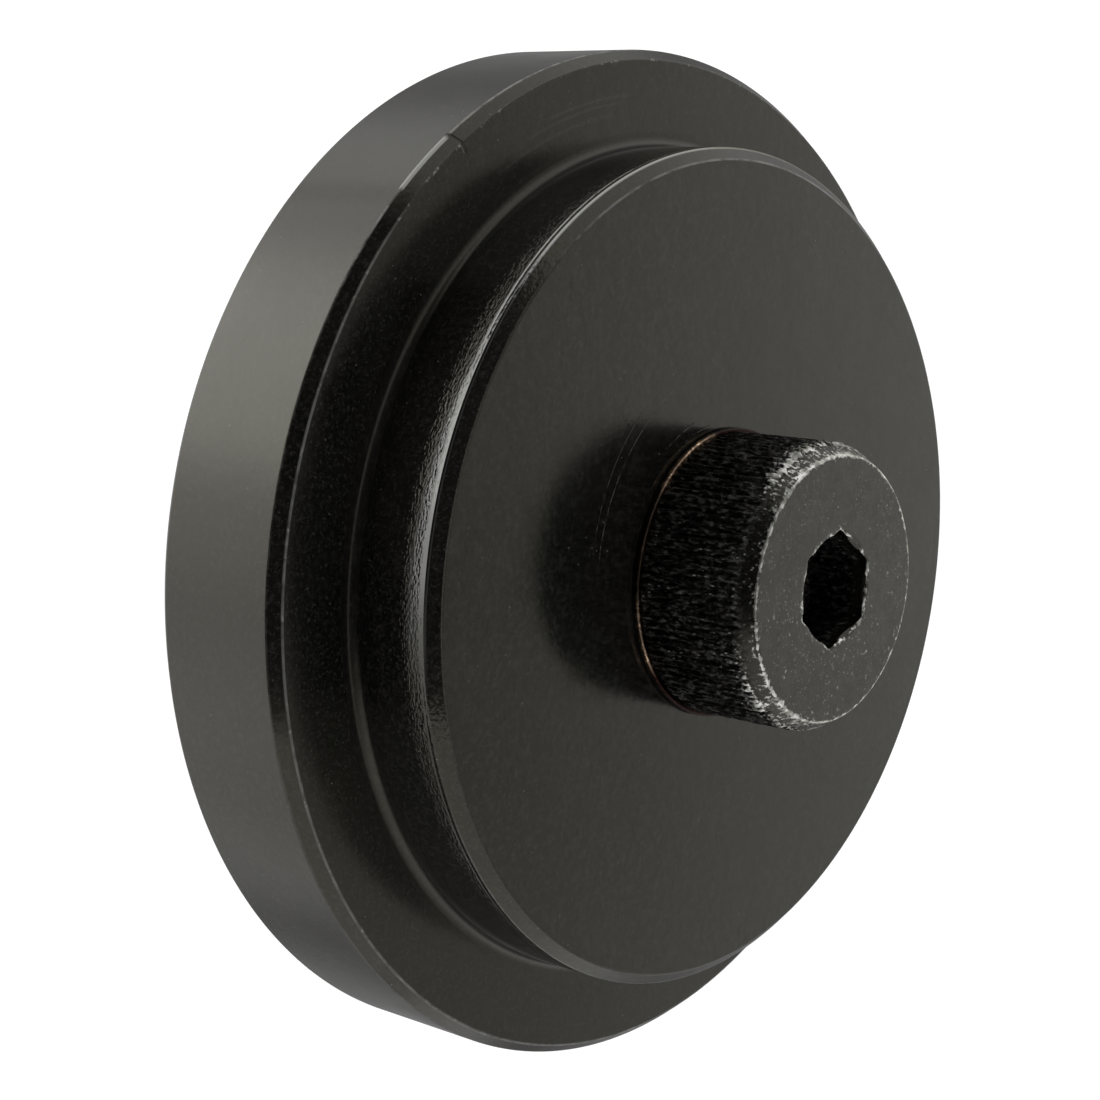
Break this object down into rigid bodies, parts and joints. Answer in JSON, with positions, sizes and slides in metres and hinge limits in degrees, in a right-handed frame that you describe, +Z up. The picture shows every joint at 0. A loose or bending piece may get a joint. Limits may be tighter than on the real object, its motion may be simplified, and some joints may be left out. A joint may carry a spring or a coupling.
{
  "type": "v-belt idler pulley",
  "caption": "Black flat-faced steel idler pulley with a stepped front hub, free-running on sealed ball bearings around a knurled socket shoulder screw with a thin bronze washer.",
  "frame": {"origin": "on the pulley's axis, where the screw's shoulder and the rear collar seat on the machine bracket and the thread starts", "axes": "+Y along the axis from the screw head to the thread, +Z up, +X to the right seen from the screw head"},
  "size_m": [0.08, 0.0544, 0.08],
  "materials": {
    "pulley_black": "satin black coat",
    "screw_black": "black oxide, worn to bright steel on the edges",
    "bronze": "bare bronze, slightly tarnished",
    "ground_steel": "turned",
    "bearing_steel": "ground",
    "ball_steel": "polished",
    "spring_steel": "phosphated",
    "seal_rubber": "moulded",
    "cage_nylon": "moulded"
  },
  "bodies": {
    "screw_stack": {"shoulder_screw": "screw_black", "bronze_washer": "bronze", "front_spacer": "ground_steel", "inner_spacer": "ground_steel", "rear_collar": "ground_steel", "front_inner_ring": "bearing_steel", "rear_inner_ring": "bearing_steel"},
    "pulley": {"pulley_body": "pulley_black", "outer_spacer": "ground_steel", "retaining_ring": "spring_steel", "front_outer_ring": "bearing_steel", "rear_outer_ring": "bearing_steel", "front_bearing_front_seal": "seal_rubber", "front_bearing_rear_seal": "seal_rubber", "rear_bearing_front_seal": "seal_rubber", "rear_bearing_rear_seal": "seal_rubber"},
    "front_ball_train": {"front_balls": "ball_steel", "front_cage": "cage_nylon"},
    "rear_ball_train": {"rear_balls": "ball_steel", "rear_cage": "cage_nylon"}
  },
  "joints": [
    {"name": "pulley_spin", "type": "hinge", "parent": "screw_stack", "child": "pulley", "pos_m": [0, -0.0128, 0], "axis": [0, 1, 0], "continuous": true},
    {"name": "front_cage_spin", "type": "hinge", "parent": "screw_stack", "child": "front_ball_train", "pos_m": [0, -0.018, 0], "axis": [0, 1, 0], "continuous": true},
    {"name": "rear_cage_spin", "type": "hinge", "parent": "screw_stack", "child": "rear_ball_train", "pos_m": [0, -0.0097, 0], "axis": [0, 1, 0], "continuous": true}
  ],
  "couplings": [
    {"joint": "front_cage_spin", "follows": "pulley_spin", "ratio": 0.578},
    {"joint": "rear_cage_spin", "follows": "pulley_spin", "ratio": 0.578}
  ]
}
